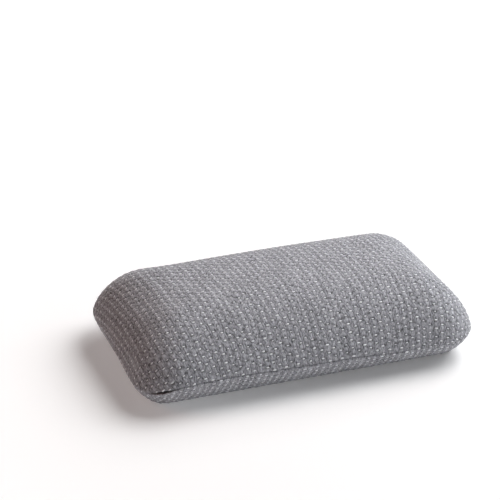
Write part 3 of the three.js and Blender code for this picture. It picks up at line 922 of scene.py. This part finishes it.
def closed_form(depth):
    """Points and faces of the pillow's whole form, `depth` below its surface."""
    grid = Grid(FILLING_STEP)
    lower, upper = (
        [grid.ring(turn, depth) for turn in even_turns(1.0, end, grid.spacing)] for end in (0.0, 2.0)
    )
    low_points, low_quads = grid.surface(lower, crowned=False)
    high_points, high_quads = grid.surface(upper, crowned=True)
    around = len(lower[0])
    rename = np.concatenate([np.arange(around), np.arange(around, len(high_points)) - around])
    rename[around:] += len(low_points)
    points = np.vstack([low_points, high_points[around:]])
    quads = np.vstack([low_quads[:, ::-1], rename[high_quads]])
    return dented(points, depth), quads


def foam_block():
    """The memory-foam block, with the faint wander that a cut block has."""
    points, quads = closed_form(FOAM_DEPTH)
    block = finer(make_object("foam_block", points, quads), 1)
    points = read_points(block.data)
    bumps = ripple(points[:, 0] + points[:, 2], points[:, 1], FOAM_WANDER_LENGTH, FOAM_SEED)
    wander = FOAM_WANDER * bumps
    write_points(block.data, points + read_normals(block.data) * wander[:, None])
    return block


def liner_skin():
    """The jersey liner: a thin closed skin round the foam."""
    outer, quads = closed_form(LINER_DEPTH)
    inner, _ = closed_form(LINER_DEPTH + LINER_THICKNESS)
    faces = np.vstack([quads, quads[:, ::-1] + len(outer)])
    return finer(make_object("liner_skin", np.vstack([outer, inner]), faces), 1)


# ---------------------------------------------------------------- thread and coils
TUBE_SIDES = 6
STEEP = 0.9  # a tube that starts steeper than this needs another first axis than Z
COIL_PITCH = 1.6
COIL_WIRE = 0.32
COIL_STEPS = 10  # round one turn of the coil
COIL_SQUEEZE = 0.75  # below 1 a turn is squarer than a circle
SEAM_PITCH = 2.6
SEAM_THREAD = 0.22
SEAM_STEPS = 12
SEAM_DEPTH = 2.9  # of the loops' middle behind the widest line
SEAM_LOOP_DEPTH = 0.7  # half of a loop's depth and height
SEAM_LOOP_HEIGHT = 0.4
SEAM_GRID_STEP = 2.0


def tube(path, radius):
    """Points and faces of a round tube along a path."""
    ahead = np.gradient(path, axis=0)
    ahead /= np.linalg.norm(ahead, axis=1, keepdims=True)
    side = np.zeros_like(path)
    last = np.array([0.0, 0.0, 1.0] if abs(ahead[0][2]) < STEEP else [1.0, 0.0, 0.0])
    for number, forward in enumerate(ahead):
        last = last - forward * (last @ forward)
        last /= np.linalg.norm(last)
        side[number] = last
    other = np.cross(ahead, side)
    angles = np.linspace(0, 2 * math.pi, TUBE_SIDES, endpoint=False)
    cosines, sines = np.cos(angles)[None, :, None], np.sin(angles)[None, :, None]
    ring = side[:, None] * cosines + other[:, None] * sines
    points = (path[:, None] + radius * ring).reshape(-1, 3)
    faces = []
    for low in range(0, len(points) - TUBE_SIDES, TUBE_SIDES):
        high = low + TUBE_SIDES
        for k in range(TUBE_SIDES):
            beside = (k + 1) % TUBE_SIDES
            faces.append([low + k, low + beside, high + beside, high + k])
    faces.append(list(range(TUBE_SIDES))[::-1])
    faces.append(list(range(len(points) - TUBE_SIDES, len(points))))
    return points, faces


def zip_coil(name, side):
    """One side of the chain: a nylon helix squeezed into the strip that the CAD leaves for it."""
    low, high = (np.array(corner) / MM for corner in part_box(name))
    middle, half = (low + high) / 2, (high - low) / 2 - COIL_WIRE
    turns = int((high[0] - low[0]) / COIL_PITCH)
    phase = np.linspace(0, 2 * math.pi * turns, turns * COIL_STEPS + 1)
    x = np.linspace(low[0] + COIL_WIRE, high[0] - COIL_WIRE, len(phase))
    across = np.sign(np.sin(phase)) * np.abs(np.sin(phase)) ** COIL_SQUEEZE
    deep = np.sign(np.cos(phase)) * np.abs(np.cos(phase)) ** COIL_SQUEEZE
    path = np.column_stack([x, middle[1] + half[1] * deep, middle[2] + side * half[2] * across])
    return make_object(f"{name}_helix", *tube(path, COIL_WIRE))


def seam_thread():
    """The overlock thread that loops round the two edges where they are sewn together."""
    low, high = SLOT_LEFT + SLOT_TAPER, SLOT_RIGHT - SLOT_TAPER
    base = Grid(SEAM_GRID_STEP).ring(1.0, SEAM_DEPTH, WIDEST_Z)
    base[:, 2] += slot_centre(base)
    span = np.linalg.norm(np.roll(base, -1, axis=0) - base, axis=1)
    run = np.concatenate([[0.0], np.cumsum(span)])
    closed = np.vstack([base, base[:1]])
    count = int(run[-1] / SEAM_PITCH)
    steps = count * SEAM_STEPS
    along = np.linspace(0.0, run[-1], steps, endpoint=False)
    phase = np.linspace(0.0, 2 * math.pi * count, steps, endpoint=False)
    path = np.column_stack([np.interp(along, run, closed[:, axis]) for axis in range(3)])
    ahead = np.gradient(path, axis=0)
    ahead /= np.linalg.norm(ahead, axis=1, keepdims=True)
    outwards = np.cross(ahead, [0.0, 0.0, 1.0])
    path += outwards * (SEAM_LOOP_DEPTH * np.cos(phase))[:, None]
    path[:, 2] += SEAM_LOOP_HEIGHT * np.sin(phase)
    in_slot = (path[:, 0] > low) & (path[:, 0] < high) & (path[:, 1] < -WIDTH / 4)
    first = int(np.argmax(in_slot))
    last = len(path) - int(np.argmax(in_slot[::-1]))
    kept = np.vstack([path[last:], path[:first]]) if first > 0 else path[last:]
    return make_object("seam_overlock", *tube(kept, SEAM_THREAD))


# ---------------------------------------------------------------- the pull
PULL_EYE = 0.87
PULL_HOLE = 0.9
PULL_HOLE_INSET = 2.6
PULL_BEVEL = 0.14
PULL_STEPS = 24  # in a full circle


def joint_point(name):
    joints = frame["record"]["behaviour"]["joints"]
    return next(joint["pos_m"] for joint in joints if joint["name"] == name)


def slider_pull():
    """The slim stamped pull, with rounded ends and edges, an eye for the pin and a hole."""
    low, high = (np.array(corner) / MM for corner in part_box("slider_pull"))
    pivot = np.array(joint_point("pull_swing")) / MM
    half_width = (high[1] - low[1]) / 2
    far = low[0] + half_width
    outline = []
    for centre, start in ((pivot[0], -math.pi / 2), (far, math.pi / 2)):
        for angle in np.linspace(start, start + math.pi, PULL_STEPS // 2 + 1):
            outline.append((centre + half_width * math.cos(angle), half_width * math.sin(angle)))
    rims = [outline]
    angles = np.linspace(0, 2 * math.pi, PULL_STEPS, endpoint=False)
    for centre, radius in ((pivot[0], PULL_EYE), (low[0] + PULL_HOLE_INSET, PULL_HOLE)):
        rims.append([(centre + radius * math.cos(a), radius * math.sin(a)) for a in angles])
    mesh = bmesh.new()
    edges = []
    for rim in rims:
        corners = [mesh.verts.new((x * MM, y * MM, 0.0)) for x, y in rim]
        for number, corner in enumerate(corners):
            edges.append(mesh.edges.new((corner, corners[(number + 1) % len(corners)])))
    bmesh.ops.triangle_fill(mesh, use_beauty=True, edges=edges, normal=(0, 0, 1))
    data = bpy.data.meshes.new("slider_pull_tab")
    mesh.to_mesh(data)
    mesh.free()
    pull = bpy.data.objects.new("slider_pull_tab", data)
    bpy.context.scene.collection.objects.link(pull)
    thick = pull.modifiers.new("Thick", "SOLIDIFY")
    thick.thickness = (high[2] - low[2]) * MM
    thick.offset = 0.0
    edge = pull.modifiers.new("Edge", "BEVEL")
    edge.width = PULL_BEVEL * MM
    edge.segments = 3
    edge.limit_method = "ANGLE"
    applied(pull)
    points = read_points(pull.data)
    write_points(pull.data, points + [0.0, pivot[1], pivot[2]])
    pull.data.polygons.foreach_set("use_smooth", [False] * len(pull.data.polygons))
    return pull


# ---------------------------------------------------------------- stage, in metres
FLOOR_HALF = 40.0
FLOOR_WHITE = (0.88, 0.88, 0.885)
# Painted light: the floor glows, faintly round this centre, where it lightens the shadows beside the
# pillow, and more with distance
GLOW_CENTRE = (0.3, -0.05, 0.0)
GLOW_REACH = (0.2, 1.4)  # the floor's glow grows between these distances from its centre
GLOW_STRENGTH = (0.125, 0.75)
WHITE = (1.0, 1.0, 1.0)
WORLD_LIGHT = 0.012
BACKDROP = 0.9
LAMP_AIM = (0.0, 0.0, 0.05)
LAMPS = {  # place, size, watts and colour
    "back_right": ((1.3, 1.2, 1.7), 1.6, 25, WHITE),
    "right": ((1.25, 0.0, 1.7), 1.8, 43, WHITE),
    "front_right": ((1.3, -1.8, 1.3), 1.4, 3.6, WHITE),
    "warm_left": ((-1.7, 0.3, 1.0), 1.0, 3.2, (1.0, 0.28, 0.08)),
}
CAMERA_TARGET = (0.0545, 0.2506, 0.0)
CAMERA_DISTANCE = 2.639
CAMERA_AZIMUTH = math.radians(-20.13)
CAMERA_ELEVATION = math.radians(25.85)
LENS = 148.2  # mm, on a sensor of this width
SENSOR_WIDTH = 36.0


def floor_material():
    """Matt white with a painted glow: faint near the pillow, where it lightens the shadows, and strong
    far off, as a lit studio sweep does.
    """
    material, tree, shader = new_material("floor_white_painted_glow")
    between = {0: object_point(tree), 1: GLOW_CENTRE}
    away = add_node(tree, "VectorMath", between, operation="DISTANCE").outputs["Value"]
    glow = map_range(tree, away, GLOW_REACH, GLOW_STRENGTH, interpolation_type="SMOOTHSTEP")
    fill_inputs(tree, shader, {"Base Color": FLOOR_WHITE, "Roughness": 0.6})
    fill_inputs(tree, shader, {"Emission Color": WHITE, "Emission Strength": glow})
    return material


def add_stage():
    half = FLOOR_HALF / MM
    corners = [(-half, -half, 0), (half, -half, 0), (half, half, 0), (-half, half, 0)]
    floor = make_object("floor", corners, [(0, 1, 2, 3)])
    floor.data.materials.append(floor_material())


def add_light(name, spot, size, power, colour):
    light = bpy.data.lights.new(name, "AREA")
    light.shape = "DISK"
    light.size = size
    light.energy = power
    light.color = colour
    lamp = bpy.data.objects.new(name, light)
    lamp.location = spot
    lamp.rotation_mode = "QUATERNION"
    lamp.rotation_quaternion = (Vector(LAMP_AIM) - Vector(spot)).to_track_quat("-Z", "Y")
    bpy.context.scene.collection.objects.link(lamp)


def add_world():
    """Even light from all round; the camera itself sees a brighter backdrop."""
    world = bpy.data.worlds.new("studio")
    world.use_nodes = True
    tree = world.node_tree
    seen = add_node(tree, "LightPath", {}).outputs["Is Camera Ray"]
    strength = map_range(tree, seen, (0.0, 1.0), (WORLD_LIGHT, BACKDROP))
    fill_inputs(tree, tree.nodes["Background"], {"Color": WHITE, "Strength": strength})
    bpy.context.scene.world = world


def add_lights():
    add_world()
    for name, lamp in LAMPS.items():
        add_light(name, *lamp)


def add_camera():
    back = Vector((
        math.sin(CAMERA_AZIMUTH) * math.cos(CAMERA_ELEVATION),
        -math.cos(CAMERA_AZIMUTH) * math.cos(CAMERA_ELEVATION),
        math.sin(CAMERA_ELEVATION),
    ))
    data = bpy.data.cameras.new("camera")
    data.sensor_width = SENSOR_WIDTH
    data.lens = LENS
    camera = bpy.data.objects.new("camera", data)
    camera.location = Vector(CAMERA_TARGET) + back * CAMERA_DISTANCE
    camera.rotation_mode = "QUATERNION"
    camera.rotation_quaternion = (-back).to_track_quat("-Z", "Y")
    bpy.context.scene.collection.objects.link(camera)
    bpy.context.scene.camera = camera


# ---------------------------------------------------------------- assembly
bpy.context.scene.view_settings.view_transform = "Standard"
add_camera()
add_lights()
add_stage()

knit = knit_material()
# name, dark and light colour, grain in mm, its stretch, roughness and metallic
white = grainy_material("stitch_white", (0.77, 0.79, 0.83), (0.96, 0.98, 1.0), 0.5, (0.3, 1, 1), 0.8)
nylon = grainy_material("nylon_grey", (0.09, 0.09, 0.10), (0.16, 0.16, 0.17), 0.8, (0.3, 1, 1), 0.4)
metal = grainy_material("gunmetal", (0.17, 0.17, 0.18), (0.30, 0.30, 0.31), 0.4, (0.15, 1, 1), 0.38, 1.0)
thread = grainy_material("seam_grey", (0.14, 0.14, 0.15), (0.27, 0.27, 0.28), 0.4, (0.4, 1, 1), 0.85)
# name, dark and light colour, the threads' two pitches in mm, roughness and sheen
tape = woven_material("tape_grey", (0.08, 0.08, 0.09), (0.17, 0.17, 0.18), (0.7, 0.5), 0.85, 0.2)
jersey = woven_material("jersey_white", (0.66, 0.65, 0.62), (0.88, 0.87, 0.84), (1.5, 1.1), 0.92, 0.3)
satin = woven_material("satin_white", (0.78, 0.77, 0.75), (0.92, 0.91, 0.89), (0.35, 1.2), 0.45, 0.1)
foam = foam_material()


def place(piece, body, slot, material, *nodes):
    """Gives a piece its material and body, and hides the CAD nodes it stands for; the slot is not used.
    """
    piece.data.materials.append(material)
    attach(piece, body)
    if nodes:
        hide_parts(*nodes)


for node, side in (("cover_upper", 1), ("cover_base", -1)):
    panel = cover_panel(f"{node}_knit", side)
    place(panel, "pillow", "knit_cover", knit, node)
    place(stitch_dots(f"{node}_dots", panel), "pillow", "knit_cover", white)
    close_wall(panel, side)
skin = liner_skin()
place(skin, "pillow", "liner_jersey", jersey, "core_liner")
block = foam_block()
place(block, "pillow", "memory_foam", foam, "foam_core")
place(seam_thread(), "pillow", "seam_thread", thread, "perimeter_seam")
for node, side in (("zip_coil_upper", 1), ("zip_coil_lower", -1)):
    place(zip_coil(node, side), "pillow", "zip_coil", nylon, node)
place(slider_pull(), "pull", "slider_metal", metal, "slider_pull")
carried = {
    "zip_tape_upper": tape, "zip_tape_lower": tape, "zip_top_stop_upper": nylon,
    "zip_top_stop_lower": nylon, "zip_bottom_stop": nylon, "slider_body": metal, "care_label": satin,
}
for node, material in carried.items():
    bpy.data.objects[node].material_slots[0].material = material
